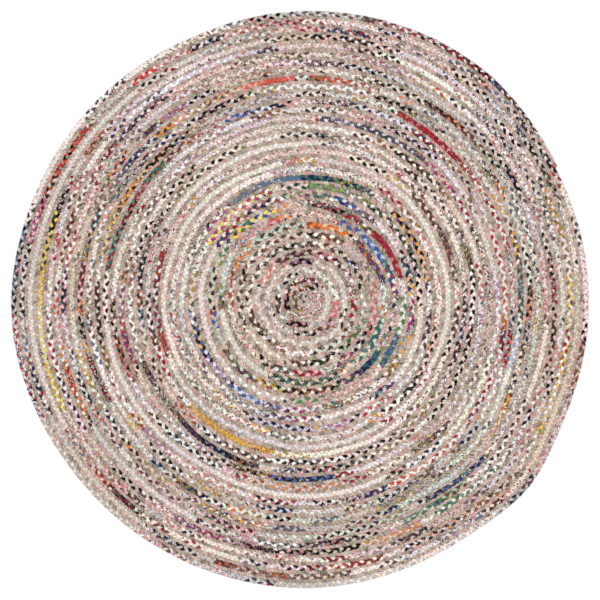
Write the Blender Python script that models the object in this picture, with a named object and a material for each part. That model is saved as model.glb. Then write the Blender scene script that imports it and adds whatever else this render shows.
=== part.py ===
"""A round rug: one long three-strand plait of rag strips, coiled flat and sewn turn to turn.

Metres, +Z up. The rug lies on z = 0 with the middle of its outline's box at the origin. Seen from
above, the plait runs outward clockwise from the middle of the coil and its tail tapers off at the
upper right. The top is a low ridge along the plait with a groove on each side of it.
"""
import math

import bmesh
import bpy

# The coil
PITCH = 0.0254              # width of the plait, and so the distance from one turn to the next
TURNS = 34.5                # turns from the middle of the coil to the tail's tip
TAIL_DIRECTION = 28.0       # degrees, counterclockwise from +X, where the tail ends
TAIL_TURN = 0.06            # the last part of a turn, over which the plait gets narrow
TAIL_WIDTH = 0.20           # width of the tail's tip, as a share of the plait's width

# The plait was wound tight at the start and lies looser, and so wider, some turns further out
TIGHTER = 0.40              # how much narrower the very first turn is
TIGHT_REACH = 1.9           # turns over which that wears off
LOOSER = 0.21               # how much wider the loosest turn is
LOOSE_TURN = 8.0            # the loosest turn
LOOSE_REACH = 7.6           # turns to either side of it that are looser too
WINDING_STEPS = 50          # steps in a turn, for adding up the widths of the turns

# Heights above the floor, and the rounded outer edge
CREST = 0.0105              # top of the plait
GROOVE = 0.0045             # where two turns meet, and the top of the outer edge
EDGE_INSET = 0.0040         # how far the underside stays inside the outer edge

# A station follows the next where the chord would leave the round turn by this much
CHORD_ERROR = 0.00125
LEAST_STATIONS = 14         # in one turn near the middle

# The outline isn't a true spiral: the outer turns bulge out where the plait was sewn on more
# loosely, and draw in where it was pulled tight. Directions and half widths are in degrees,
# heights in metres at the outer edge.
BULGES = (
    # (direction, half width, height)
    (62.0, 18.0, 0.004),
    (113.0, 19.0, -0.010),
    (184.0, 21.0, 0.018),
    (272.0, 16.0, 0.004),
    (320.0, 10.0, 0.021),
)

COLOUR = (0.46, 0.36, 0.32, 1.0)    # mean of the mixed rag colours, linear
ROUGHNESS = 0.95


def clear_scene():
    for item in list(bpy.data.objects):
        bpy.data.objects.remove(item, do_unlink=True)


def bulge(angle):
    """How far the outline stands out beyond the true spiral in this direction, in metres."""
    total = 0.0
    for direction, half_width, height in BULGES:
        away = (math.degrees(angle) - direction + 180.0) % 360.0 - 180.0
        total += height * math.exp(-((away / half_width) ** 2))
    return total


def turn_width(turn):
    """Width of the plait where it has gone round this many times."""
    looser = LOOSER * math.exp(-(((turn - LOOSE_TURN) / LOOSE_REACH) ** 2))
    tighter = TIGHTER * math.exp(-turn / TIGHT_REACH)
    return PITCH * (1.0 + looser - tighter)


def winding():
    """Radius of the coil at each step from its middle: the widths of the turns, added up."""
    radii = [0.0]
    for step in range(math.ceil(TURNS * WINDING_STEPS)):
        radii.append(radii[-1] + turn_width((step + 0.5) / WINDING_STEPS) / WINDING_STEPS)
    return radii


RADII = winding()


def coil_radius(turn):
    place = turn * WINDING_STEPS
    step = min(int(place), len(RADII) - 2)
    return RADII[step] + (RADII[step + 1] - RADII[step]) * (place - step)


def on_spiral(turn, inward, height):
    """A point above the spiral at this turn, moved inward by a share of the plait's width."""
    angle = math.radians(TAIL_DIRECTION) + 2.0 * math.pi * (TURNS - turn)
    radius = coil_radius(turn - inward)
    radius += bulge(angle) * (radius / RADII[-1]) ** 2
    return (radius * math.cos(angle), radius * math.sin(angle), height)


def plait_width(turn):
    """The plait's width here as a share of the full width: 1 until the tail, then less."""
    along_tail = max(0.0, (turn - (TURNS - TAIL_TURN)) / TAIL_TURN)
    return 1.0 - (1.0 - TAIL_WIDTH) * along_tail


def outer_edge(turn):
    return on_spiral(turn, 1.0 - plait_width(turn), GROOVE)


def crest(turn):
    width = plait_width(turn)
    return on_spiral(turn, 1.0 - width / 2.0, GROOVE + (CREST - GROOVE) * math.sqrt(width))


def stations(first, last):
    """Turn values from first to last, as close together as the curve at each of them needs."""
    found = [first]
    while found[-1] < last:
        radius = coil_radius(max(found[-1], 0.5))
        count = max(LEAST_STATIONS, 2.0 * math.pi * math.sqrt(radius / (8.0 * CHORD_ERROR)))
        found.append(found[-1] + 1.0 / count)
    stretch = (last - first) / (found[-1] - first)
    return [first + (turn - first) * stretch for turn in found[:-1]] + [last]


def stitch(mesh, row, other):
    """Fills the strip between two rows of (turn, vertex), each time from the row that is behind."""
    i, j = 0, 0
    while i + 1 < len(row) or j + 1 < len(other):
        row_next = row[i + 1][0] if i + 1 < len(row) else math.inf
        other_next = other[j + 1][0] if j + 1 < len(other) else math.inf
        if row_next <= other_next:
            mesh.faces.new((row[i][1], row[i + 1][1], other[j][1]))
            i += 1
        else:
            mesh.faces.new((row[i][1], other[j + 1][1], other[j][1]))
            j += 1


def close_middle(mesh, first_turn, first_crest):
    """The start of the plait, rolled up tight: a low dome round the middle of the coil."""
    middle = mesh.verts.new(on_spiral(0.0, 0.0, CREST))
    rim = first_turn + [first_crest]
    for here, following in zip(rim, rim[1:]):
        mesh.faces.new((middle, here, following))
    return middle


def close_underside(mesh, rim):
    """The rounded outer edge down to the floor, and the flat underside."""
    below = []
    for vertex in rim:
        x, y, _ = vertex.co
        inset = 1.0 - EDGE_INSET / math.hypot(x, y)
        below.append(mesh.verts.new((x * inset, y * inset, 0.0)))
    count = len(rim)
    for k in range(count):
        after = (k + 1) % count
        mesh.faces.new((rim[k], rim[after], below[after], below[k]))
    mesh.faces.new(below)


def coil_mesh():
    """The whole rug as one closed body, its coil's middle at the mesh's own origin."""
    mesh = bmesh.new()
    before_last = TURNS - 1.0
    turns = stations(0.0, 1.0) + stations(1.0, before_last)[1:] + stations(before_last, TURNS)[1:]

    edges = [(turn, mesh.verts.new(outer_edge(turn))) for turn in turns[1:]]
    crests = [(turn, mesh.verts.new(crest(turn))) for turn in turns if turn >= 1.0]
    first_turn = [vertex for turn, vertex in edges if turn <= 1.0]
    middle = close_middle(mesh, first_turn, crests[0][1])

    # The outer edge of each turn is also the inner side of the turn that follows it.
    inner_side = [(turn + 1.0, vertex) for turn, vertex in edges if turn <= before_last]
    outer_side = [(turn, vertex) for turn, vertex in edges if turn >= 1.0]
    stitch(mesh, [(1.0, middle)] + inner_side, crests)
    stitch(mesh, crests, outer_side)

    rim = [vertex for turn, vertex in edges if turn >= before_last] + [crests[-1][1]]
    close_underside(mesh, rim)
    bmesh.ops.recalc_face_normals(mesh, faces=mesh.faces)
    return mesh


def centre_outline(mesh):
    """Moves the mesh so that the middle of its outline's box is at x = 0, y = 0."""
    for axis in (0, 1):
        values = [vertex.co[axis] for vertex in mesh.verts]
        middle = (min(values) + max(values)) / 2.0
        for vertex in mesh.verts:
            vertex.co[axis] -= middle


def rag_material():
    material = bpy.data.materials.new("woven cotton rag")
    material.use_nodes = True
    material.diffuse_color = COLOUR
    shader = material.node_tree.nodes["Principled BSDF"]
    shader.inputs["Base Color"].default_value = COLOUR
    shader.inputs["Roughness"].default_value = ROUGHNESS
    shader.inputs["Metallic"].default_value = 0.0
    return material


def build_coiled_braid():
    shape = coil_mesh()
    centre_outline(shape)
    data = bpy.data.meshes.new("coiled_braid")
    shape.to_mesh(data)
    shape.free()
    data.materials.append(rag_material())
    data.shade_smooth()
    data.set_sharp_from_angle(angle=math.radians(60.0))
    rug = bpy.data.objects.new("coiled_braid", data)
    bpy.context.scene.collection.objects.link(rug)
    return rug


clear_scene()
rug = build_coiled_braid()
print("coiled_braid: size", [round(side, 4) for side in rug.dimensions], "faces", len(rug.data.polygons))
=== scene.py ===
# %% [markdown]
# # A round rug, plaited from rags and coiled flat
#
# Leftover cloth is torn into strips, three strands of strips are plaited into one flat plait,
# and the plait is wound up in a spiral and laced turn to turn. About a hundred metres of it lie here.
#
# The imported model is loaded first. Its one body gives the outline and height that the fine surface
# keeps to.

# %% Load the frame
import math

import bpy
import numpy as np
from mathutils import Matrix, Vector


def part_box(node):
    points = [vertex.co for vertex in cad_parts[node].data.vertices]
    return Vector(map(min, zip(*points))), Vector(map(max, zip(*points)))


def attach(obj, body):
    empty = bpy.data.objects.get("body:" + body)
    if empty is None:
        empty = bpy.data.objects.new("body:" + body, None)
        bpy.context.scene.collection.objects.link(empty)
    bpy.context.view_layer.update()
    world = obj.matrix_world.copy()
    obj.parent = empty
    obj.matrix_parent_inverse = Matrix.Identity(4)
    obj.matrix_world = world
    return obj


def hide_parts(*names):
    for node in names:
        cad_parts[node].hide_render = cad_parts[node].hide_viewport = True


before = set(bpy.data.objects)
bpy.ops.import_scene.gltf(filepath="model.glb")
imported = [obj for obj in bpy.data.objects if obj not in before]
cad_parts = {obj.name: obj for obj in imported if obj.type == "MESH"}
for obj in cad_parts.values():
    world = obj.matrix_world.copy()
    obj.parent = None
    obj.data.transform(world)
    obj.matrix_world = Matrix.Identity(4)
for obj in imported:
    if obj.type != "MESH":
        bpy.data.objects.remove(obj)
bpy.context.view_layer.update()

rug_low, rug_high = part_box("coiled_braid")
print("the rug measures", [round(high - low, 4) for low, high in zip(rug_low, rug_high)])

# %% [markdown]
# ## The coil
#
# The plait was wound tight at the start and lies looser some turns out. One function gives its width
# at any turn, and the running sum of that is the radius, so every piece can ask for its place.

# %% The plait's width, and the spiral's radius
PITCH = 0.0254  # metres from one turn to the next
TURNS = 34.5
TIGHTER = 0.40  # how much narrower the very first turn is
TIGHT_REACH = 1.9  # turns over which that wears off
LOOSER = 0.21  # how much wider the loosest turn is
LOOSE_TURN = 8.0
LOOSE_REACH = 7.6
STEPS_PER_TURN = 360


def turn_width(turn):
    """Width of the plait where it has gone round this many times."""
    looser = LOOSER * np.exp(-(((turn - LOOSE_TURN) / LOOSE_REACH) ** 2))
    tighter = TIGHTER * np.exp(-turn / TIGHT_REACH)
    return PITCH * (1.0 + looser - tighter)


def running_sum(steps):
    """The sum before each of these steps, and after the last."""
    return np.concatenate(([0.0], np.cumsum(steps)))


TURN_STEPS = np.arange(0.0, TURNS + 1.0, 1.0 / STEPS_PER_TURN)
HALFWAY = TURN_STEPS[:-1] + 0.5 / STEPS_PER_TURN
RADII = running_sum(turn_width(HALFWAY) / STEPS_PER_TURN)
OUTER_RADIUS = float(np.interp(TURNS, TURN_STEPS, RADII))
print("a true spiral has a radius of", round(OUTER_RADIUS, 4))

# %% [markdown]
# ## Where the coil isn't true
#
# The outline bulges in a few directions. Inside it no turn runs quite evenly, and the turns that
# follow lie along it. So neighbouring turns wander together, a few millimetres in and out.

# %% Bulges and wandering
TAIL_DIRECTION = 28.0  # degrees, counterclockwise from +X, where the tail ends
BULGES = (
    # (direction in degrees, half width in degrees, height in metres at the outer edge)
    (62.0, 18.0, 0.004),
    (113.0, 19.0, -0.010),
    (184.0, 21.0, 0.018),
    (272.0, 16.0, 0.004),
    (320.0, 10.0, 0.021),
)
WANDERINGS = (
    # (waves in a turn, turns until it repeats, start as a share of a wave, height in metres)
    (3, 9.0, 0.10, 0.0026),
    (5, -7.0, 0.60, 0.0022),
    (8, 5.5, 0.35, 0.0016),
    (13, -4.0, 0.80, 0.0010),
    (21, 3.0, 0.25, 0.0006),
)
STEADY_START = 5.0  # turns over which the wandering grows
STEADY_END = 3.0  # turns over which it dies down before the last turn


def direction_at(turn):
    """Angle from +X. The plait runs outward clockwise."""
    return math.radians(TAIL_DIRECTION) + math.tau * (TURNS - turn)


def bulge(turn):
    """How far the outline bulges here, in metres."""
    total = 0.0
    for towards, half_width, height in BULGES:
        away = (np.degrees(direction_at(turn)) - towards + 180.0) % 360.0 - 180.0
        total = total + height * np.exp(-((away / half_width) ** 2))
    return total


def wandering(turn, inward):
    """How far the line strays from the spiral, the same from either side of a groove."""
    total = 0.0
    line = turn - inward
    for count, repeat, start, height in WANDERINGS:
        share = count * direction_at(turn) / math.tau + line / repeat + start
        total = total + height * np.sin(math.tau * share)
    grown = np.clip(line / STEADY_START, 0.0, 1.0)
    left = np.clip((TURNS - 1.0 - line) / STEADY_END, 0.0, 1.0)
    return total * grown * left


def coil_radius(turn, inward):
    """Radius of the coil at this turn, moved inward by a share of the plait's width."""
    radius = np.interp(turn - inward, TURN_STEPS, RADII)
    return radius + bulge(turn) * (radius / OUTER_RADIUS) ** 2 + wandering(turn, inward)


def around_coil(turn, inward):
    """Places along the spiral as rows of (x, y), from the coil's middle."""
    radius, angle = coil_radius(turn, inward), direction_at(turn)
    return np.stack((radius * np.cos(angle), radius * np.sin(angle)), axis=-1)


print("the turns wander up to", round(1000.0 * float(np.abs(wandering(TURN_STEPS, 0.5)).max()), 1), "mm")

# %% [markdown]
# ## The tail and the rug's own frame
#
# The plait gets narrow at its end and is tucked against the turn before. The rug's frame has its zero
# at the middle of the outline's box, not of the coil, so the last turn gives the way between them.

# %% The last turn
TAIL_TURN = 0.06  # turns over which the plait gets narrow
TAIL_WIDTH = 0.20  # width of its tip, as a share of the plait's
LAST_TURN = np.linspace(TURNS - 1.0, TURNS, STEPS_PER_TURN)


def tail_share(turn):
    """The plait's width as a share of the full one: 1 until the tail, then less."""
    return 1.0 - (1.0 - TAIL_WIDTH) * np.clip((turn - (TURNS - TAIL_TURN)) / TAIL_TURN, 0.0, 1.0)


OUTLINE = around_coil(LAST_TURN, 1.0 - tail_share(LAST_TURN))
COIL_MIDDLE = -(OUTLINE.max(axis=0) + OUTLINE.min(axis=0)) / 2.0


def place(turn, inward):
    """Places along the spiral in the rug's own frame, as rows of (x, y, z)."""
    flat = around_coil(turn, inward) + COIL_MIDDLE
    return np.column_stack((flat, np.zeros(len(flat))))


print("the coil's middle lies at", COIL_MIDDLE.round(4))

# %% [markdown]
# ## Measuring along the plait
#
# A strand crosses to the other side of the plait and back once in every lay. Its rings of points lie
# at even steps of that, so the lays are added up along the spiral, and the sum is read backwards.

# %% Rings at even steps of the crossing
LAY = 1.65  # length of a full crossing, in plait widths
RINGS_PER_LAY = 8
FIRST_TURN = 0.72  # where the plait starts, folded up tight

lengths = math.tau * coil_radius(HALFWAY, 0.5) / STEPS_PER_TURN
metres = running_sum(lengths)
lays = running_sum(lengths / (LAY * turn_width(HALFWAY)))
first_lay, last_lay = np.interp((FIRST_TURN, TURNS), TURN_STEPS, lays)
ring_count = int((last_lay - first_lay) * RINGS_PER_LAY)
RING_LAY = first_lay + np.arange(ring_count) / RINGS_PER_LAY
RING_TURN = np.interp(RING_LAY, lays, TURN_STEPS)
RING_METRES = np.interp(RING_TURN, TURN_STEPS, metres)
print(ring_count, "rings on", round(float(RING_METRES[-1] - RING_METRES[0]), 1), "metres of plait")

# %% [markdown]
# ## One helper for node trees
#
# Every shape and finish below is a tree of nodes. One function adds a node, sets it, and fills its
# inputs with values, links or sums. A sum like ("ADD", a, b) is a plain tuple until a node takes it.

# %% A helper for nodes, and one for colours
MATH = "ShaderNodeMath"
VECTOR = "ShaderNodeVectorMath"
COMBINE = "ShaderNodeCombineXYZ"
SEPARATE = "ShaderNodeSeparateXYZ"
NAMED = "GeometryNodeInputNamedAttribute"
ATTRIBUTE = "ShaderNodeAttribute"
STORE = "GeometryNodeStoreNamedAttribute"
MOVE = "GeometryNodeSetPosition"
NOISE = "ShaderNodeTexNoise"
RAMP = "ShaderNodeValToRGB"


def add(tree, kind, inputs=(), settings=None):
    """Adds a node. Its inputs are a table, or values in order. Its settings are a table, or the name
    of its operation. An input is linked to the node, output or sum that it is given."""
    node = tree.nodes.new(kind)
    if isinstance(settings, str):
        settings = {"operation": settings}
    for name, value in (settings or {}).items():
        setattr(node, name, value)
    for name, value in (inputs.items() if isinstance(inputs, dict) else enumerate(inputs)):
        if isinstance(value, tuple) and isinstance(value[0], str):
            value = add(tree, MATH, value[1:], value[0])
        if isinstance(value, bpy.types.Node):
            value = value.outputs[0]
        if isinstance(value, bpy.types.NodeSocket):
            tree.links.new(value, node.inputs[name])
        else:
            node.inputs[name].default_value = value
    return node


def linear(code):
    """An sRGB hex colour as the linear values that Blender's shaders work in."""
    shares = [int(code[k:k + 2], 16) / 255.0 for k in (1, 3, 5)]
    return [c / 12.92 if c <= 0.04045 else ((c + 0.055) / 1.055) ** 2.4 for c in shares]


# %% [markdown]
# ## The cloths
#
# The strips come from a bag of offcuts: mostly pale cotton in cream, blush, lilac and tan, with
# shorter pieces of every other colour. Each has a plain name here.

# %% The bag of offcuts
CLOTH = {
    "white": "#F3E8E0", "cream": "#E8DDD1", "blush": "#E6D1CA", "lilac": "#DACFD8",
    "tan": "#CDBAA9", "grey": "#C2BAB6", "mint": "#C5CFC2", "sky": "#A9BBD2",
    "peach": "#E8CAB2", "pink": "#DEADB4", "rose": "#C27A80", "mauve": "#A67E98",
    "magenta": "#A83470", "red": "#C02A2E", "crimson": "#98182E", "maroon": "#552430",
    "coral": "#D25A46", "rust": "#9A4C33", "orange": "#DC7A34", "gold": "#D2A044",
    "yellow": "#E0C95A", "leaf": "#7C9A48", "olive": "#827A48", "green": "#3F7A4A",
    "forest": "#203E32", "teal": "#2C6668", "blue": "#3A5C9C", "navy": "#1E264A",
    "purple": "#5A3868", "slate": "#5A6C84", "brown": "#5C4136", "black": "#0E0C0D",
}
PALE = "cream cream cream white white white blush blush blush lilac tan tan grey peach mint".split()
PRINTS_ON_PALE = ("black black black brown maroon crimson red red rose navy navy slate green teal "
                  "blue blue gold orange rust mauve magenta olive pink").split()
PRINTS_ON_STRONG = "cream cream white pink blush gold orange black maroon navy".split()
print(len(CLOTH), "cloths")

# %% [markdown]
# ## What lay on top in the bag
#
# The bag wasn't mixed evenly. The middle is tan, brown and black, a ring of every bright colour lies
# a third of the way out, and a quiet pale ring follows. A frequent cloth is named more than once.

# %% The cloths by turn
MIXES = (
    # (from turn, share of strong strips, the strong cloths from there, the pale ones)
    (0.0, 0.46, "black black brown maroon olive", "tan tan grey blush cream"),
    (2.4, 0.46, "black black black maroon rose pink", "cream tan blush grey"),
    (5.0, 0.36, "black black rose maroon slate brown", "cream cream white tan lilac"),
    (6.7, 0.48, "black black black brown maroon rose", "cream tan white grey"),
    (9.0, 0.50, "rust orange crimson pink brown black olive", "tan cream peach blush mint"),
    (10.2, 0.64, "navy teal green forest purple blue crimson black olive orange", "tan cream mint blush"),
    (12.3, 0.56, "navy teal forest purple slate maroon black gold magenta", "lilac cream white blush"),
    (14.8, 0.32, "black black crimson brown gold rose", "white white cream cream blush"),
    (18.5, 0.50, "black black brown slate olive maroon rust", "cream tan blush white"),
    (20.5, 0.50, "black black brown maroon rose pink navy crimson mauve rust", "cream white tan lilac"),
    (24.0, 0.50, "black black brown maroon navy teal gold olive orange slate", "cream white tan grey mint"),
    (28.0, 0.50, "black black maroon rose pink mauve navy crimson brown", "blush cream white lilac tan"),
    (31.5, 0.48, "black black brown maroon navy crimson rose slate", "cream white blush grey"),
)
print(len(MIXES), "mixes")

# %% [markdown]
# ## Which strips were plaited in where
#
# The strips that catch the eye are set down here, outward along the plait. A dark strand between two
# pale ones shows as a row of dark teeth, and three of a kind as a band. The rest is from the bag.

# %% The runs that catch the eye
RUNS = (
    # (from turn, to turn, the cloths of the three strands)
    (1.85, 2.20, "brown tan black"), (2.42, 2.73, "black brown cream"),
    (2.78, 2.98, "black cream tan"), (2.98, 3.12, "rose pink black"),
    (3.12, 3.28, "black black white"), (3.28, 3.42, "pink maroon cream"),
    (3.48, 3.72, "cream white cream"), (3.80, 3.93, "rose cream black"),
    (4.00, 4.10, "black cream white"), (4.17, 4.28, "black lilac white"),
    (4.57, 4.66, "rose maroon rose"), (4.66, 4.76, "mauve black pink"),
    (4.77, 4.88, "rose crimson blush"), (4.88, 5.03, "crimson maroon white"),
    (5.26, 5.36, "sky white mauve"), (5.44, 5.60, "white cream blush"),
    (5.68, 6.12, "cream white tan"), (6.13, 6.22, "rose pink blush"),
    (6.22, 6.35, "maroon rose brown"), (6.36, 6.56, "maroon blush black"),
    (6.57, 6.64, "rose red blush"), (6.80, 6.96, "white black white"),
    (7.22, 7.34, "black tan cream"), (7.38, 7.60, "black white cream"),
    (7.62, 7.73, "forest black green"), (7.85, 8.00, "maroon white white"),
    (8.00, 8.16, "black cream tan"), (8.16, 8.33, "brown cream tan"),
    (8.42, 8.68, "pink rose tan"), (8.70, 8.79, "magenta mauve rose"),
    (8.79, 8.90, "rose crimson pink"), (9.12, 9.33, "brown rust tan"),
    (9.33, 9.42, "orange coral orange"), (9.44, 9.54, "purple navy brown"),
    (9.62, 9.74, "teal forest teal"), (9.76, 9.90, "teal green forest"),
    (9.90, 10.06, "cream white cream"), (10.17, 10.28, "rose pink coral"),
    (10.39, 10.52, "sky blue teal"), (10.57, 10.63, "navy blue navy"),
    (10.67, 10.78, "navy black navy"), (10.78, 10.99, "brown black gold"),
    (11.06, 11.19, "leaf green leaf"), (11.19, 11.31, "orange green yellow"),
    (11.33, 11.42, "crimson crimson leaf"), (11.45, 11.54, "crimson crimson crimson"),
    (11.63, 11.69, "teal slate teal"), (11.86, 12.16, "blush cream white"),
    (12.16, 12.30, "navy white purple"), (12.37, 12.44, "blue lilac navy"),
    (12.86, 13.06, "lilac blue sky"), (13.16, 13.28, "magenta yellow peach"),
    (13.33, 13.42, "leaf green olive"), (14.22, 14.32, "slate slate slate"),
    (14.32, 14.42, "forest navy green"), (14.45, 14.55, "purple black gold"),
    (14.71, 14.75, "red coral white"), (15.55, 15.73, "black white white"),
    (16.00, 16.30, "white cream white"), (16.34, 16.65, "white white cream"),
    (16.74, 17.00, "cream white lilac"), (17.02, 17.13, "crimson maroon crimson"),
    (17.45, 17.56, "maroon brown brown"), (17.86, 17.96, "gold gold gold"),
    (18.17, 18.34, "cream cream white"), (18.70, 18.94, "black white white"),
    (19.60, 19.70, "black white cream"), (19.78, 19.85, "crimson maroon purple"),
    (19.87, 20.02, "navy forest maroon"), (20.12, 20.22, "black white white"),
    (20.80, 20.86, "navy blue navy"), (21.02, 21.09, "magenta purple pink"),
    (21.34, 21.44, "purple forest navy"), (21.44, 21.51, "magenta crimson pink"),
    (21.77, 21.89, "rust orange crimson"), (21.90, 21.98, "black white white"),
    (22.62, 22.74, "navy white white"), (22.76, 23.05, "white cream white"),
    (23.10, 23.20, "teal crimson green"), (23.26, 23.30, "blue blue sky"),
    (23.30, 23.38, "navy white white"), (23.42, 23.50, "crimson pink white"),
    (23.52, 23.60, "red rust cream"), (23.60, 23.68, "crimson maroon navy"),
    (23.69, 23.76, "red black crimson"), (24.11, 24.18, "orange yellow gold"),
    (24.40, 24.46, "crimson crimson crimson"), (24.46, 24.54, "crimson cream crimson"),
    (24.60, 24.67, "teal crimson red"), (25.60, 25.63, "sky sky teal"),
    (26.00, 26.07, "black crimson white"), (26.07, 26.15, "crimson maroon pink"),
    (26.15, 26.21, "purple navy teal"), (26.21, 26.28, "gold orange black"),
    (26.28, 26.32, "coral coral coral"), (26.33, 26.38, "olive rust coral"),
    (26.76, 26.85, "navy black navy"), (27.22, 27.26, "mauve magenta lilac"),
    (27.69, 27.74, "navy navy blue"), (27.86, 27.96, "maroon pink pink"),
    (28.07, 28.16, "crimson pink white"), (28.71, 28.76, "teal green navy"),
    (28.90, 28.99, "lilac cream blush"), (29.00, 29.08, "red orange maroon"),
    (29.10, 29.19, "maroon brown crimson"), (29.46, 29.56, "brown white white"),
    (29.68, 29.74, "teal green cream"), (29.75, 29.79, "orange gold cream"),
    (29.88, 29.94, "purple navy magenta"), (30.03, 30.12, "crimson white pink"),
    (30.44, 30.53, "purple white navy"), (31.01, 31.15, "gold yellow forest"),
    (31.17, 31.22, "crimson maroon rust"), (31.50, 31.66, "yellow olive gold"),
    (31.78, 31.85, "crimson pink cream"), (32.00, 32.22, "cream white cream"),
    (32.56, 32.68, "cream peach tan"), (32.80, 32.88, "brown rust maroon"),
    (32.93, 33.01, "cream grey blush"), (33.02, 33.08, "navy crimson black"),
    (33.11, 33.15, "magenta crimson pink"), (33.15, 33.19, "red brown red"),
    (33.22, 33.26, "red coral pink"), (33.28, 33.34, "crimson pink white"),
    (33.60, 33.66, "navy black grey"), (33.93, 34.01, "grey cream tan"),
    (34.02, 34.07, "maroon crimson cream"), (34.07, 34.12, "black slate grey"),
    (34.12, 34.27, "black white white"), (34.36, 34.44, "crimson pink brown"),
    (34.44, 34.48, "forest maroon navy"),
)
print(len(RUNS), "runs")

# %% [markdown]
# ## Laying the strips into the strands
#
# Each strand first gets strip after strip from the bag, each of a random length. Then the runs are
# laid over them. Each strip also gets a print: its colour, how much of the cloth it covers, whether it
# is spots or stripes, and a seed that moves it about.

# %% A strip and its print
SEED = 20240
SHADE_SPREAD = 0.11  # how far two strips of one cloth differ in lightness
TINT_SPREAD = 0.035  # and how far its red, green and blue differ
MOST_LIGHT = 0.92  # share of the light that the palest cloth gives back
PLAIN_SHADE = 0.86  # unprinted cloth is less bleached
PRINTED_SHARE = 0.85  # share of the strips that are printed
PRINT_ON_PALE = (0.05, 0.45)  # how much of a strip its print covers
PRINT_ON_STRONG = (0.06, 0.40)
PRINT_SEEDS = 100.0  # the range of seeds that move a print about

rng = np.random.default_rng(SEED)


def draw_strip(name, plain=False):
    """A strip of this cloth: its colour, its print's colour, and (cover, kind, seed)."""
    pale = name in PALE
    shade = math.exp(rng.normal(0.0, SHADE_SPREAD)) * (PLAIN_SHADE if plain else 1.0)
    tint = 1.0 + rng.normal(0.0, TINT_SPREAD, 3)
    colour = np.clip(np.array(linear(CLOTH[name])) * shade * tint, 0.0, MOST_LIGHT)
    print_name = rng.choice(PRINTS_ON_PALE if pale else PRINTS_ON_STRONG)
    cover = rng.uniform(*(PRINT_ON_PALE if pale else PRINT_ON_STRONG))
    if plain or rng.random() > PRINTED_SHARE:
        cover = 0.0
    return colour, linear(CLOTH[print_name]), (cover, rng.random(), rng.uniform(0.0, PRINT_SEEDS))


print("a strip of rose:", [np.round(part, 2).tolist() for part in draw_strip("rose")])

# %% Strips from the bag
STRANDS = 3
PALE_LENGTH = (0.04, 0.36)  # metres, the shortest and longest pale strip
BLACK_LENGTH = (0.05, 0.24)
BRIGHT_LENGTH = (0.02, 0.10)  # the others were the smallest offcuts

MIX_STARTS = [start for start, _, _, _ in MIXES]


def cloth_from_bag(turn):
    """The next cloth from the bag, for a strand at this turn."""
    _, strong_share, strong, pale = MIXES[np.searchsorted(MIX_STARTS, turn, side="right") - 1]
    return str(rng.choice((strong if rng.random() < strong_share else pale).split()))


def strip_length(name):
    """Length of the next strip of this cloth, in metres."""
    short = BLACK_LENGTH if name == "black" else BRIGHT_LENGTH
    return rng.uniform(*(PALE_LENGTH if name in PALE else short))


def from_the_bag():
    """Fills the strands with strips from the bag, and notes each ring's strip and its cloth."""
    strips = []
    owner = np.zeros((STRANDS, ring_count), int)
    names = np.empty((STRANDS, ring_count), object)
    for strand in range(STRANDS):
        at = RING_METRES[0] - rng.uniform(*PALE_LENGTH)
        while at < RING_METRES[-1]:
            name = cloth_from_bag(np.interp(at, RING_METRES, RING_TURN))
            until = at + strip_length(name)
            first, last = np.searchsorted(RING_METRES, (at, until))
            owner[strand, first:last + 1] = len(strips)
            names[strand, first:last + 1] = name
            strips.append(draw_strip(name))
            at = until
    return strips, owner, names


strips, owner, names = from_the_bag()
print(len(strips), "strips from the bag")

# %% The runs, laid over them
KEPT_SHARE = 0.64  # share of a run's strips that are its own cloth


def lay_strand(strand, rings, name, plain, whole):
    """Lays strips of this cloth on a strand, with others in between unless the run is whole."""
    ring, end = int(rings[0]), int(rings[-1]) + 1
    while ring < end:
        kept = whole or rng.random() < KEPT_SHARE
        cloth = name if kept else cloth_from_bag(RING_TURN[ring])
        until = np.searchsorted(RING_METRES, RING_METRES[ring] + strip_length(cloth))
        until = min(int(until) + 1, end)
        owner[strand, ring:until] = len(strips)
        names[strand, ring:until] = name
        strips.append(draw_strip(cloth, plain))
        ring = until


def lay_run(rings, waiting):
    """Lays a run's cloths on the strands, each on the one that already carries it, if any does."""
    plain = all(name in PALE for name in waiting)
    whole = plain or len(set(waiting)) == 1
    before = max(int(rings[0]) - 1, 0)
    free = [int(strand) for strand in rng.permutation(STRANDS)]
    for strand in list(free):
        if names[strand, before] in waiting:
            free.remove(strand)
            waiting.remove(names[strand, before])
            lay_strand(strand, rings, names[strand, before], plain, whole)
    for strand, name in zip(free, waiting):
        lay_strand(strand, rings, name, plain, whole)


for start, end, cloths in RUNS:
    lay_run(np.flatnonzero((RING_TURN >= start) & (RING_TURN < end)), cloths.split())
STRIP_COLOURS, PRINT_COLOURS, MARKS = (np.array([strip[k] for strip in strips]) for k in range(3))
print(len(strips), "strips in all")

# %% [markdown]
# ## The path of a strand
#
# Each strand is a section swept along a path. Its node tree is handed a guide: the plait's middle
# line, one point per ring, with how far the crossing has come, the plait's width, which way is
# outward, and the strip's colours. The rug is made in zones, so that no piece gets too heavy.

# %% Guides for the strands
PLAIT_INWARD = 0.44  # the lacing inside it pushes the plait a little outward


def middle_line(turn):
    """How far inward the plait's middle line lies, as a share of its width."""
    return 1.0 - tail_share(turn) * (1.0 - PLAIT_INWARD)


def store(mesh, **columns):
    """Stores these for the mesh's points, each as numbers or as rows of three."""
    for name, values in columns.items():
        kind, field = ("FLOAT_VECTOR", "vector") if np.ndim(values) == 2 else ("FLOAT", "value")
        mesh.attributes.new(name, kind, "POINT").data.foreach_set(field, np.ravel(values))


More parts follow.
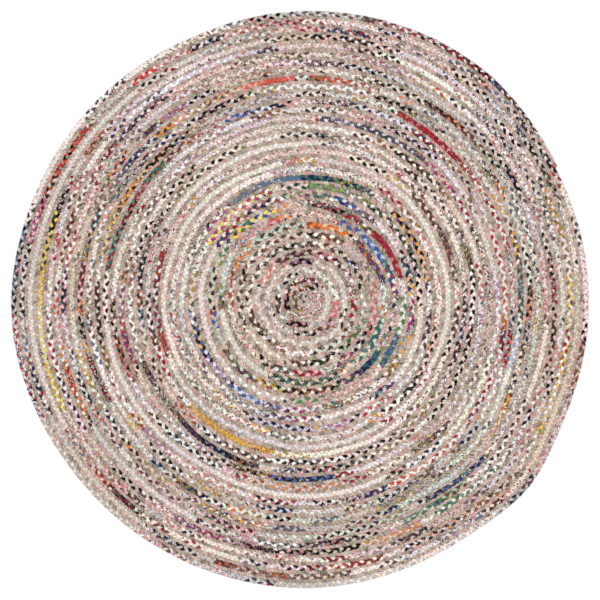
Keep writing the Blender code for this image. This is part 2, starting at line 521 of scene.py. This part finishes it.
def strand_guide(first, last):
    """The guide between two rings: the three strands' lines, one after the other."""
    rings = np.arange(first, min(last + 1, ring_count))
    count, turn, angle = len(rings), RING_TURN[rings], direction_at(RING_TURN[rings])
    mesh = bpy.data.meshes.new("guide")
    starts = [k for k in range(STRANDS * count) if (k + 1) % count]
    middle = np.tile(place(turn, middle_line(turn)), (STRANDS, 1))
    mesh.from_pydata(middle, [(k, k + 1) for k in starts], [])
    crossing = [RING_LAY[rings] + strand / STRANDS for strand in range(STRANDS)]
    outward = np.column_stack((np.cos(angle), np.sin(angle), np.zeros(count)))
    own = owner[:, rings].ravel()
    store(mesh, crossing=np.concatenate(crossing) * math.tau,
          width=np.tile(turn_width(turn) * tail_share(turn), STRANDS),
          outward=np.tile(outward, (STRANDS, 1)), ring=np.arange(count * STRANDS, dtype=float),
          cloth=STRIP_COLOURS[own], print=PRINT_COLOURS[own], marks=MARKS[own])
    return mesh


print("the middle line lies", round(middle_line(0.0), 2), "of a width inward")

# %% [markdown]
# ## Trees that take a guide
#
# The plait and the lacing are both sweeps, so their trees start, sweep and end in the same way.

# %% A tree's start, sweep and end
SEAM_STEP = 0.25  # the place around a sweep jumps by more than this at its seam


def new_tree(title, sizes):
    """A tree with a guide and these sizes as named inputs, and a mesh coming out."""
    tree = bpy.data.node_groups.new(title, "GeometryNodeTree")
    tree.interface.new_socket("Guide", in_out="INPUT", socket_type="NodeSocketGeometry")
    for name, value in sizes.items():
        kind = "NodeSocketInt" if isinstance(value, int) else "NodeSocketFloat"
        tree.interface.new_socket(name, in_out="INPUT", socket_type=kind).default_value = value
    tree.interface.new_socket("Material", in_out="INPUT", socket_type="NodeSocketMaterial")
    tree.interface.new_socket("Mesh", in_out="OUTPUT", socket_type="NodeSocketGeometry")
    return tree, tree.nodes.new("NodeGroupInput").outputs


def round_section(tree, sides, flatness=1.0):
    """A section of radius 1 that starts underneath, pressed to this flatness."""
    circle = add(tree, "GeometryNodeCurvePrimitiveCircle", {"Resolution": sides, "Radius": 1.0})
    squash = add(tree, COMBINE, (1.0, flatness, 1.0))
    return add(tree, "GeometryNodeTransform",
               {"Geometry": circle, "Rotation": (0.0, 0.0, math.radians(-90.0)), "Scale": squash})


def swept(tree, path, section, radius):
    """Sweeps a section along a path, and stores the places along and around it."""
    here = add(tree, "GeometryNodeSplineParameter").outputs
    path = add(tree, STORE, {"Geometry": path, "Name": "along", "Value": here["Length"]})
    path = add(tree, "GeometryNodeSetCurveNormal", {"Curve": path}, {"mode": "Z_UP"})
    section = add(tree, STORE, {"Geometry": section, "Name": "around", "Value": here["Factor"]})
    return add(tree, "GeometryNodeCurveToMesh",
               {"Curve": path, "Profile Curve": section, "Scale": radius, "Fill Caps": True})


def unrolled(tree, geometry, girth, name):
    """Stores a UV map in metres: along the sweep, and around it from the seam underneath."""
    around, along = add(tree, NAMED, ("around",)), add(tree, NAMED, ("along",))
    on_face = add(tree, "GeometryNodeFieldOnDomain", (around,), {"domain": "FACE"})
    past_seam = ("GREATER_THAN", ("SUBTRACT", on_face, around), SEAM_STEP)
    surface = add(tree, COMBINE, (along, ("MULTIPLY", ("ADD", around, past_seam), girth)))
    return add(tree, STORE, {"Geometry": geometry, "Name": name, "Value": surface},
               {"data_type": "FLOAT2", "domain": "CORNER"})


def close_tree(tree, geometry, material):
    """Ends a tree: smooth faces, no instances left, and the piece's material."""
    smooth = add(tree, "GeometryNodeSetShadeSmooth", (geometry,))
    real = add(tree, "GeometryNodeRealizeInstances", (smooth,))
    add(tree, "NodeGroupOutput",
        (add(tree, "GeometryNodeSetMaterial", {"Geometry": real, "Material": material}),))


# %% [markdown]
# ## Plaiting with Geometry Nodes
#
# In a three-strand plait every strand swings from side to side once in a lay, goes over and under
# twice, and follows the one before a third of a lay behind. So the side step is a sine of the crossing
# and the height a sine of twice that. Hands aren't as even, so a noise moves and swells the strand.

# %% The path of a strand, in nodes
STRAY_CHANGE = 1.3  # how often the stray changes, per radian of the crossing
SWELL_CHANGE = 1.7  # and how often the strip swells or thins
NOISE_MIDDLE = 0.5
AS_VECTOR = {"data_type": "FLOAT_VECTOR"}


def strand_path(tree, given, crossing, width):
    """Moves the guide's points to the strand's path, and stores them as its middle."""
    outward = add(tree, NAMED, ("outward",), AS_VECTOR)
    by_hand = add(tree, NOISE, {"Vector": outward, "W": crossing, "Scale": STRAY_CHANGE, "Detail": 0.0},
                  {"noise_dimensions": "4D"})
    stray = ("MULTIPLY", ("SUBTRACT", by_hand, NOISE_MIDDLE), given["Stray"])
    swing = ("MULTIPLY", ("SINE", crossing), given["Side step"])
    side = ("MULTIPLY", ("ADD", swing, stray), width)
    twice = ("SINE", ("MULTIPLY", crossing, 2.0))
    height = ("MULTIPLY_ADD", twice, given["Rise"], given["Middle height"])
    aside = add(tree, VECTOR, {0: outward, "Scale": side}, "SCALE")
    step = add(tree, VECTOR, (aside, add(tree, COMBINE, {"Z": height})), "ADD")
    line = add(tree, "GeometryNodeMeshToCurve", (given["Guide"],))
    path = add(tree, MOVE, {"Geometry": line, "Offset": step})
    here = add(tree, "GeometryNodeInputPosition")
    return add(tree, STORE, {"Geometry": path, "Name": "middle", "Value": here}, AS_VECTOR)


def swollen(tree, given, crossing, width):
    """The strand's radius: half its width, more or less as the strip was folded."""
    folded = add(tree, NOISE, {"W": crossing, "Scale": SWELL_CHANGE, "Detail": 0.0},
                 {"noise_dimensions": "1D"})
    more = ("MULTIPLY_ADD", ("SUBTRACT", folded, NOISE_MIDDLE), given["Swelling"], 1.0)
    return add(tree, MATH, (("MULTIPLY", width, given["Half width"]), more), "MULTIPLY")


# %% Pressing and dressing the strand
EDGE_SHARPNESS = 4.0  # how suddenly a strand gets rounder where it turns back
EDGE_RISE = 0.25  # how much thicker it is there
EDGE_NARROWING = 0.12  # and how much narrower


def pressed(tree, given, tube, crossing, radius):
    """Presses the tube flat, less so where the strand turns back."""
    middle = add(tree, NAMED, ("middle",), AS_VECTOR)
    spread = add(tree, VECTOR, (add(tree, "GeometryNodeInputPosition"), middle), "SUBTRACT")
    at_edge = add(tree, MATH, (("ABSOLUTE", ("SINE", crossing)), EDGE_SHARPNESS), "POWER")
    flatness = ("DIVIDE", given["Half thickness"], radius)
    taller = ("MULTIPLY", ("MULTIPLY_ADD", at_edge, EDGE_RISE, 1.0), flatness)
    narrower = add(tree, MATH, (at_edge, -EDGE_NARROWING, 1.0), "MULTIPLY_ADD")
    shape = add(tree, COMBINE, (narrower, narrower, taller))
    spread = add(tree, VECTOR, (spread, shape), "MULTIPLY")
    return add(tree, MOVE, {"Geometry": tube, "Position": add(tree, VECTOR, (middle, spread), "ADD")})


def dressed(tree, given, strand):
    """Gives each face the strip of the ring that it starts at."""
    on_face = add(tree, "GeometryNodeFieldOnDomain", (add(tree, NAMED, ("ring",)),), {"domain": "FACE"})
    number = add(tree, "FunctionNodeFloatToInt", (on_face,), {"rounding_mode": "FLOOR"})
    for name in ("cloth", "print", "marks"):
        wanted = add(tree, NAMED, (name,), AS_VECTOR)
        of_ring = add(tree, "GeometryNodeSampleIndex",
                      {"Geometry": given["Guide"], "Index": number, "Value": wanted}, AS_VECTOR)
        strand = add(tree, STORE, {"Geometry": strand, "Name": name, "Value": of_ring},
                     {**AS_VECTOR, "domain": "FACE"})
    return strand


# %% The plait's tree
PLAIT_SIZES = {
    # Shares of the plait's width, and the swelling of the half width
    "Side step": 0.190, "Half width": 0.220, "Stray": 0.18, "Swelling": 0.60,
    # Metres
    "Rise": 0.0025, "Middle height": 0.0052, "Half thickness": 0.0024,
    # A count
    "Sides": 6,
}
GIRTH = 5.0  # way round a pressed strand, in radii


def plait_tree():
    tree, given = new_tree("rag plait", PLAIT_SIZES)
    crossing, width = add(tree, NAMED, ("crossing",)), add(tree, NAMED, ("width",))
    radius = swollen(tree, given, crossing, width)
    path = strand_path(tree, given, crossing, width)
    tube = swept(tree, path, round_section(tree, given["Sides"]), radius)
    strand = dressed(tree, given, pressed(tree, given, tube, crossing, radius))
    close_tree(tree, unrolled(tree, strand, ("MULTIPLY", radius, GIRTH), "strand"), given["Material"])
    return tree


plaiting = plait_tree()
print("the plait's tree has", len(plaiting.nodes), "nodes")

# %% [markdown]
# ## Woven cotton rag
#
# Plain-woven cotton, torn into strips and folded. It is matt, catches a soft sheen at a low angle,
# and shows its print as bits of spots and stripes, as a crossing of the plait is smaller than a
# printed flower.

# %% The print of a strip, in nodes
SPOT_SIZE = 0.0080  # metres, a spot of the printed cloths
SPOT_ROUGHNESS = 0.6  # how ragged it is
SPOT_EDGE = 24.0  # how crisp its edge is
DETAIL = 3.0  # how many finer layers a noise has
LEAST_LEVEL = 0.66  # the noise hardly ever passes this
LEVEL_DROP = 0.40  # how far that level sinks on a cloth that is all print
HEART = 0.07  # the darker heart of a spot starts this far above its edge
HEART_DEPTH = 0.60
FADED_LEVEL = 0.43  # below this the ground of a printed cloth is bleached
FADED_SHARE = 0.50
FADED_MORE = 2.0  # a cloth with more print is bleached more
STRIPE_PITCH = 0.0042  # metres from one printed stripe to the next
STRIPED_FROM = 0.86  # strips of a kind above this are striped
STRIPE_FROM = 0.90  # where in its pitch a stripe starts, less its cover
PLAIN_BELOW = 0.001  # a cover below this is no print
COLOUR_A, COLOUR_B, MIXED = 6, 7, 2  # a Mix node's colour sockets
VALUE_A, VALUE_B = 2, 3  # and its number sockets


def new_material(title, finish):
    """A material with these values on its shader, and its tree and its shader."""
    material = bpy.data.materials.new(title)
    material.use_nodes = True
    shader = material.node_tree.nodes["Principled BSDF"]
    for name, value in finish.items():
        shader.inputs[name].default_value = value
    return material, material.node_tree, shader


def link_surface(tree, shader, colour, height, relief):
    """Gives a shader its colour, and a relief of this strength and depth."""
    strength, depth = relief
    bump = add(tree, "ShaderNodeBump", {"Height": height, "Strength": strength, "Distance": depth})
    tree.links.new(colour.outputs[0], shader.inputs["Base Color"])
    tree.links.new(bump.outputs[0], shader.inputs["Normal"])


def spots(tree, cover, noise):
    """Where a strip shows its spots, and their darker hearts."""
    above = add(tree, MATH, (noise, ("MULTIPLY_ADD", cover, -LEVEL_DROP, LEAST_LEVEL)), "SUBTRACT")
    heart = add(tree, "ShaderNodeClamp", (("MULTIPLY", ("SUBTRACT", above, HEART), SPOT_EDGE),))
    return ("MULTIPLY", above, SPOT_EDGE), heart


def stripes(cover, across):
    """Where a striped strip shows its stripes, which run along it."""
    phase = ("FRACT", ("DIVIDE", across, STRIPE_PITCH))
    return ("GREATER_THAN", phase, ("SUBTRACT", STRIPE_FROM, cover))


def printed(tree, strand, moved, cover, kind):
    """The strip's cloth with its print on it."""
    cloth, inked = (add(tree, ATTRIBUTE, settings={"attribute_name": name}).outputs["Color"]
                    for name in ("cloth", "print"))
    noise = add(tree, NOISE, {"Vector": moved, "Scale": 1.0 / SPOT_SIZE, "Detail": DETAIL,
                              "Roughness": SPOT_ROUGHNESS})

    # The ground, bleached in patches
    below = ("MULTIPLY", ("SUBTRACT", FADED_LEVEL, noise), SPOT_EDGE)
    patch = add(tree, "ShaderNodeClamp", {"Value": below, "Max": FADED_SHARE})
    faded = ("MULTIPLY", patch, ("MULTIPLY", cover, FADED_MORE))
    white = (*linear(CLOTH["white"]), 1.0)
    ground = add(tree, "ShaderNodeMix", {"Factor": faded, COLOUR_A: cloth, COLOUR_B: white},
                 {"data_type": "RGBA"}).outputs[MIXED]

    # The print, spots on most and stripes on some
    spot, heart = spots(tree, cover, noise)
    stripe = stripes(cover, add(tree, SEPARATE, (strand,)).outputs["Y"])
    is_striped = ("GREATER_THAN", kind, STRIPED_FROM)
    pattern = add(tree, "ShaderNodeMix", {"Factor": is_striped, VALUE_A: spot, VALUE_B: stripe},
                  {"data_type": "FLOAT"})
    has_print = ("GREATER_THAN", cover, PLAIN_BELOW)
    shown = add(tree, "ShaderNodeClamp", (("MULTIPLY", pattern, has_print),))
    depth = ("MULTIPLY_ADD", heart, -HEART_DEPTH, 1.0)
    ink = add(tree, VECTOR, {0: inked, "Scale": depth}, "SCALE")
    return add(tree, "ShaderNodeMix", {"Factor": shown, COLOUR_A: ground, COLOUR_B: ink},
               {"data_type": "RGBA"}).outputs[MIXED]


# %% [markdown]
# ## Threads and folds
#
# The real threads are too fine to show, so the weave is drawn at a millimetre. The folds along each
# strip are long streaks of bump. Wear makes the cloth lighter and darker in small patches.

# %% The rag material
WEAVE_PITCH = 0.0011  # metres, coarser than the real 0.4 mm, so that it shows
WEAVE_HEIGHT = 0.12  # as a share of a fold's height
FOLD_WIDTH = 0.0016  # a crease of the folded strip
FOLD_LENGTH = 0.018
FOLD_DETAIL = 2.0
WORN_SIZE = 0.0070  # a patch of wear
WORN = (0.77, 1.17)  # how dark and how light it makes the cloth
NOISE_RANGE = (0.3, 0.7)  # a noise hardly ever leaves this range
HEIGHTS = (0.0050, 0.0098)  # metres, from deep in the plait to its crest
PAINTED_LIGHT_AND_SHADE = (0.55, 1.12)  # painted highlight on the crest and painted shade deep in the plait, as factors on the cloth's colour
RAG_FINISH = {"Roughness": 0.92, "Specular IOR Level": 0.12, "Sheen Weight": 0.08,
              "Sheen Roughness": 0.5}
RAG_RELIEF = (0.6, 0.0012)  # how strong the relief is, and its depth in metres


def rag_material():
    material, tree, shader = new_material("woven cotton rag", RAG_FINISH)
    strand = add(tree, "ShaderNodeUVMap", settings={"uv_map": "strand"})
    marks = add(tree, ATTRIBUTE, settings={"attribute_name": "marks"}).outputs["Vector"]
    cover, kind, seed = add(tree, SEPARATE, (marks,)).outputs
    moved = add(tree, VECTOR, (strand, add(tree, COMBINE, {"Z": seed})), "ADD")
    cloth = printed(tree, strand, moved, cover, kind)

    # Wear, and painted light and shade by height
    worn = add(tree, NOISE, {"Vector": moved, "Scale": 1.0 / WORN_SIZE, "Detail": DETAIL})
    lighter = add(tree, "ShaderNodeMapRange", (worn, *NOISE_RANGE, *WORN))
    # Painted shade: the cloth is darker deep in the plait and lighter on its crest, by height
    here = add(tree, SEPARATE, (add(tree, "ShaderNodeTexCoord").outputs["Object"],))
    painted_light_and_shade = add(tree, "ShaderNodeMapRange", (here.outputs["Z"], *HEIGHTS, *PAINTED_LIGHT_AND_SHADE))
    shaded = add(tree, VECTOR, {0: cloth, "Scale": ("MULTIPLY", lighter, painted_light_and_shade)}, "SCALE")

    # The weave, and the folds along the strip
    weave = add(tree, "ShaderNodeTexChecker", {"Vector": moved, "Scale": 1.0 / WEAVE_PITCH})
    stretch = add(tree, "ShaderNodeMapping",
                  {"Vector": moved, "Scale": (1.0 / FOLD_LENGTH, 1.0 / FOLD_WIDTH, 1.0)})
    folds = add(tree, NOISE, {"Vector": stretch, "Scale": 1.0, "Detail": FOLD_DETAIL})
    height = ("MULTIPLY_ADD", weave.outputs["Fac"], WEAVE_HEIGHT, folds)
    link_surface(tree, shader, shaded, height, RAG_RELIEF)
    return material


rag = rag_material()
print("the rag material has", len(rag.node_tree.nodes), "nodes")

# %% [markdown]
# ## From a guide to a piece
#
# The tree runs as a modifier on the guide. What it makes is kept as a plain mesh at the origin, and
# the guide and the modifier are removed.

# %% Run a tree on a guide


def placed(title, data):
    """An object at the origin that shows this mesh, lamp or camera."""
    made = bpy.data.objects.new(title, data)
    bpy.context.scene.collection.objects.link(made)
    return made


def made_by(tree, guide, title, material):
    """Runs a node tree on a guide and keeps the result as a plain mesh."""
    holder = placed("holder", guide)
    modifier = holder.modifiers.new(tree.name, "NODES")
    modifier.node_group = tree
    for item in tree.interface.items_tree:
        if item.name == "Material":
            modifier[item.identifier] = material
    graph = bpy.context.evaluated_depsgraph_get()
    mesh = bpy.data.meshes.new_from_object(holder.evaluated_get(graph))
    mesh.name = title
    bpy.data.objects.remove(holder, do_unlink=True)
    bpy.data.meshes.remove(guide)
    return placed(title, mesh)


def in_zones(tree, guide, ends, title, material):
    """One piece for each zone between these ends, with numbered names."""
    return [made_by(tree, guide(first, last), f"{title}_{zone:02d}", material)
            for zone, (first, last) in enumerate(zip(ends, ends[1:]), 1)]


def triangles(pieces):
    return sum(len(face.vertices) - 2 for piece in pieces for face in piece.data.polygons)


# %% Plait every zone
ZONES = 24

zone_rings = np.linspace(0, ring_count - 1, ZONES + 1).round().astype(int)
plaits = in_zones(plaiting, strand_guide, zone_rings, "plait", rag)
print(len(plaits), "pieces of plait with", triangles(plaits), "triangles")

# %% [markdown]
# ## The lacing between the turns
#
# A thick tan yarn is laced from one turn to the next all the way round. It fills the grooves with
# short slanted stitches, the rug's quiet rings of tan. One stitch is an arched piece of yarn, put on
# points along the groove, turned to its direction and varied slightly from fixed seeds.

# %% One stitch, in nodes
LACING_SIZES = {
    # Metres
    "Reach": 0.0052, "Slant": 0.0030, "Arch": 0.0036, "Lowest": 0.0042, "Yarn": 0.0034,
    # Shares
    "Flatness": 0.60, "Unevenness": 0.28,
    # Counts
    "Steps": 3, "Sides": 4,
}
YARN_GIRTH = 5.5  # way round the flattened yarn, in radii


def one_stitch(tree, given):
    """An arched piece of yarn across the groove, with its UV map."""
    reach, slant, thick = given["Reach"], given["Slant"], given["Yarn"]
    start = add(tree, COMBINE, (("MULTIPLY", reach, -1.0), ("MULTIPLY", slant, -1.0)))
    top, end = add(tree, COMBINE, {"Z": given["Arch"]}), add(tree, COMBINE, (reach, slant))
    path = add(tree, "GeometryNodeCurveQuadraticBezier", (given["Steps"], start, top, end))
    yarn = swept(tree, path, round_section(tree, given["Sides"], given["Flatness"]), thick)
    return unrolled(tree, yarn, ("MULTIPLY", thick, YARN_GIRTH), "yarn")


# %% The lacing's tree
LOWEST, HIGHEST, DRAWN = 2, 3, 1  # a Random Value node's number sockets


def lacing_tree():
    tree, given = new_tree("groove lacing", LACING_SIZES)
    uneven = given["Unevenness"]
    ranges = ((("SUBTRACT", 1.0, uneven), ("ADD", 1.0, uneven)),
              (("MULTIPLY", uneven, -1.0), uneven), (0.0, 1.0), (0.0, 1.0))
    size, sway, tone, tint = (
        add(tree, "FunctionNodeRandomValue",
            {LOWEST: low, HIGHEST: high, "Seed": seed}).outputs[DRAWN]
        for seed, (low, high) in enumerate(ranges, 1))

    share = add(tree, MATH, (add(tree, NAMED, ("width",)), PITCH), "DIVIDE")
    scale = add(tree, COMBINE, (share, ("MULTIPLY", size, share), size))
    turned = ("ADD", add(tree, NAMED, ("turned",)), sway)
    lift = add(tree, COMBINE, {"Z": given["Lowest"]})
    points = add(tree, MOVE, {"Geometry": given["Guide"], "Offset": lift})
    stitches = add(tree, "GeometryNodeInstanceOnPoints",
                   {"Points": points, "Instance": one_stitch(tree, given), "Scale": scale,
                    "Rotation": add(tree, COMBINE, {"Z": turned})})
    for name, value in (("tone", tone), ("tint", tint)):
        stitches = add(tree, STORE, {"Geometry": stitches, "Name": name, "Value": value},
                       {"domain": "INSTANCE"})
    close_tree(tree, stitches, given["Material"])
    return tree


lacing = lacing_tree()
print("the lacing's tree has", len(lacing.nodes), "nodes")

# %% Where the stitches go
STITCH_PITCH = 0.0080  # metres from one stitch to the next

groove_metres = running_sum(math.tau * coil_radius(HALFWAY, 0.0) / STEPS_PER_TURN)
groove_start, groove_end = np.interp((FIRST_TURN, TURNS - 1.0), TURN_STEPS, groove_metres)
GROOVE_TURN = np.interp(np.arange(groove_start, groove_end, STITCH_PITCH), groove_metres, TURN_STEPS)


def groove_guide(first, last):
    """Points along the groove outside these turns, half a plait out from its middle."""
    turn = GROOVE_TURN[(GROOVE_TURN >= first) & (GROOVE_TURN < last)]
    mesh = bpy.data.meshes.new("guide")
    mesh.from_pydata(place(turn, PLAIT_INWARD - 0.5), [], [])
    store(mesh, turned=direction_at(turn), width=turn_width(turn))
    return mesh


print(len(GROOVE_TURN), "stitches")

# %% [markdown]
# ## Coarse cotton yarn
#
# Unbleached cotton, spun thick and soft from mixed waste: tan, matt and a little hairy. Its plies show
# as slanted lines about 2 mm apart. No two stitches have quite the same tone, and stretches of it are
# darker or lighter, and lean to pink or to green.

# %% The yarn material
PLY_PITCH = 0.0022
PLY_SLANT = 0.5
PLY_HEIGHT = 0.3  # as a share of the fuzz
FUZZ_SIZE = 0.0035  # metres, a tuft of the yarn
FUZZ_SHARE = 2.8  # how much the fuzz moves a stitch on the scale of tones
TONE_SHARE = 0.80  # and how much its own tone does
PATCH_SIZE = 0.030  # metres, a stretch of yarn from one kind of waste
PATCH_DETAIL = 1.0
PATCH_SHARE = 2.2  # how much that moves it on both scales
YARN_TONES = (
    # (place on the scale from dark to light, colour)
    (0.00, "#7E6B62"), (0.25, "#B7A59A"), (0.55, "#D7C6BB"), (0.80, "#E8DBD2"), (1.00, "#FAF2EC"),
)
YARN_TINTS = (
    # (place on the scale, colour that the tone is multiplied with)
    (0.00, "#FFC8C6"), (0.30, "#FFF6F2"), (0.75, "#FFFCF8"), (1.00, "#E4F0C8"),
)
YARN_FINISH = {"Roughness": 0.95, "Specular IOR Level": 0.15, "Sheen Weight": 0.15}
YARN_RELIEF = (0.7, 0.0010)


def with_stops(ramp, rows):
    """Gives a colour ramp these rows as its stops."""
    stops = ramp.color_ramp.elements
    while len(stops) < len(rows):
        stops.new(0.5)
    for stop, (place_on_scale, code) in zip(stops, rows):
        stop.position = place_on_scale
        stop.color = (*linear(code), 1.0)
    return ramp


def yarn_material():
    material, tree, shader = new_material("coarse cotton yarn", YARN_FINISH)
    tone, tint = (add(tree, ATTRIBUTE, settings={"attribute_name": name}).outputs["Fac"]
                  for name in ("tone", "tint"))
    here = add(tree, "ShaderNodeTexCoord").outputs["Object"]
    fuzz = add(tree, NOISE, {"Vector": here, "Scale": 1.0 / FUZZ_SIZE, "Detail": DETAIL})
    waste = add(tree, NOISE, {"Vector": here, "Scale": 1.0 / PATCH_SIZE, "Detail": PATCH_DETAIL})
    patch = add(tree, MATH, (waste, PATCH_SHARE, -PATCH_SHARE / 2.0), "MULTIPLY_ADD")
    fluff = ("MULTIPLY_ADD", fuzz, FUZZ_SHARE, (1.0 - FUZZ_SHARE - TONE_SHARE) / 2.0)
    tone = ("MULTIPLY_ADD", tone, TONE_SHARE, fluff)
    colour = with_stops(add(tree, RAMP, (("ADD", tone, patch),)), YARN_TONES)
    leaning = with_stops(add(tree, RAMP, (("SUBTRACT", tint, patch),)), YARN_TINTS)
    tinted = add(tree, VECTOR, (colour, leaning), "MULTIPLY")

    surface = add(tree, SEPARATE, (add(tree, "ShaderNodeUVMap", settings={"uv_map": "yarn"}),))
    lean = ("MULTIPLY_ADD", surface.outputs["Y"], PLY_SLANT, surface.outputs["X"])
    plies = ("SINE", ("MULTIPLY", lean, math.tau / PLY_PITCH))
    link_surface(tree, shader, tinted, ("MULTIPLY_ADD", plies, PLY_HEIGHT, fuzz), YARN_RELIEF)
    return material


yarn = yarn_material()
print("the yarn has", len(YARN_TONES), "tones and", len(YARN_TINTS), "tints")

# %% Lace every zone
LACED_ZONES = 12

zone_ends = np.interp(np.linspace(groove_start, groove_end, LACED_ZONES + 1), groove_metres, TURN_STEPS)
lacings = in_zones(lacing, groove_guide, zone_ends, "lacing", yarn)
print(len(lacings), "pieces of lacing with", triangles(lacings), "triangles")

# %% [markdown]
# ## The yarn under the stitches
#
# Under the visible stitches the same yarn runs back, packed too tight for single threads to show. So
# it is one thin bed at mid height, with the rug's outline.

# %% The bed of yarn
BED_TOP = 0.0050
BED_BOTTOM = 0.0032
BED_FUZZ = 0.0033  # metres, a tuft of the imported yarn
BED_TONES = ((0.30, "#958277"), (0.70, "#DCCCC2"))  # as for the stitches
BED_FINISH = {"Roughness": 0.95}
BED_RELIEF = (0.8, 0.0012)


def bed_material():
    material, tree, shader = new_material("packed cotton yarn", BED_FINISH)
    here = add(tree, "ShaderNodeTexCoord").outputs["Object"]
    fuzz = add(tree, NOISE, {"Vector": here, "Scale": 1.0 / BED_FUZZ, "Detail": DETAIL})
    link_surface(tree, shader, with_stops(add(tree, RAMP, (fuzz,)), BED_TONES), fuzz, BED_RELIEF)
    return material


def yarn_bed():
    """A thin slab with the outline of the plait's middle line in the last turn."""
    rim = place(LAST_TURN, middle_line(LAST_TURN))[::-1]
    count = len(rim)
    after = [(k + 1) % count for k in range(count)]
    walls = [(k, after[k], count + after[k], count + k) for k in range(count)]
    caps = [tuple(reversed(range(count))), tuple(range(count, 2 * count))]
    mesh = bpy.data.meshes.new("yarn_bed")
    levels = np.concatenate((rim + (0.0, 0.0, BED_BOTTOM), rim + (0.0, 0.0, BED_TOP)))
    mesh.from_pydata(levels, [], caps + walls)
    mesh.materials.append(bed_material())
    return placed("yarn_bed", mesh)


bed = yarn_bed()
print("all pieces together have", triangles(plaits + lacings + [bed]), "triangles")

# %% [markdown]
# ## Floor, light and camera
#
# A matt white floor, a bright even sky and one very broad soft lamp almost overhead leave hardly any
# shadow. The camera hangs straight above the rug, which fills the frame as in the photograph.

# %% The floor
FLOOR_SIZE = 12.0
FLOOR_FINISH = {"Base Color": (0.95, 0.95, 0.95, 1.0), "Roughness": 0.9}

half = FLOOR_SIZE / 2.0
floor_mesh = bpy.data.meshes.new("floor")
corners = [(-half, -half, 0.0), (half, -half, 0.0), (half, half, 0.0), (-half, half, 0.0)]
floor_mesh.from_pydata(corners, [], [(0, 1, 2, 3)])
floor_mesh.materials.append(new_material("matt white floor paint", FLOOR_FINISH)[0])
floor = placed("floor", floor_mesh)
print("the floor is", FLOOR_SIZE, "m wide")

# %% The light
SKY_STRENGTH = 0.785
LAMP_STRENGTH = 1.25
LAMP_SPREAD = 50.0  # degrees
LAMP_TILT = (-4.0, -5.0)  # degrees about x and y, from straight down
LAMP_HEIGHT = 3.0

sky = bpy.data.worlds.new("even sky")
sky.use_nodes = True
glow = sky.node_tree.nodes["Background"].inputs
glow["Color"].default_value = (1.0, 1.0, 1.0, 1.0)
glow["Strength"].default_value = SKY_STRENGTH
bpy.context.scene.world = sky

lamp_data = bpy.data.lights.new("soft lamp", "SUN")
lamp_data.angle = math.radians(LAMP_SPREAD)
lamp_data.energy = LAMP_STRENGTH
lamp = placed("soft lamp", lamp_data)
lamp.location = (0.0, 0.0, LAMP_HEIGHT)
lamp.rotation_euler = (*np.radians(LAMP_TILT), 0.0)
print("sky", SKY_STRENGTH, "and lamp", LAMP_STRENGTH)

# %% The camera
FRAME_PIXELS = 600
RUG_PIXELS = 578  # width of the rug in the photograph
RUG_DROP = -0.5  # pixels that the rug's middle lies below the frame's middle
CAMERA_HEIGHT = 6.0
SENSOR = 36.0  # millimetres

frame_width = (rug_high[0] - rug_low[0]) * FRAME_PIXELS / RUG_PIXELS
camera_data = bpy.data.cameras.new("camera")
camera_data.sensor_width = SENSOR
camera_data.lens = SENSOR * CAMERA_HEIGHT / frame_width
camera = placed("camera", camera_data)
camera.location = (0.0, RUG_DROP * frame_width / FRAME_PIXELS, CAMERA_HEIGHT)
bpy.context.scene.camera = camera
bpy.context.scene.view_settings.view_transform = "Standard"
print("the lens is", round(camera_data.lens, 1), "mm")

# %% [markdown]
# ## Handing the pieces over
#
# Every piece rides on the rug's one body and stands for the plain model.

for piece in plaits + lacings + [bed]:
    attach(piece, "root")
    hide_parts("coiled_braid")
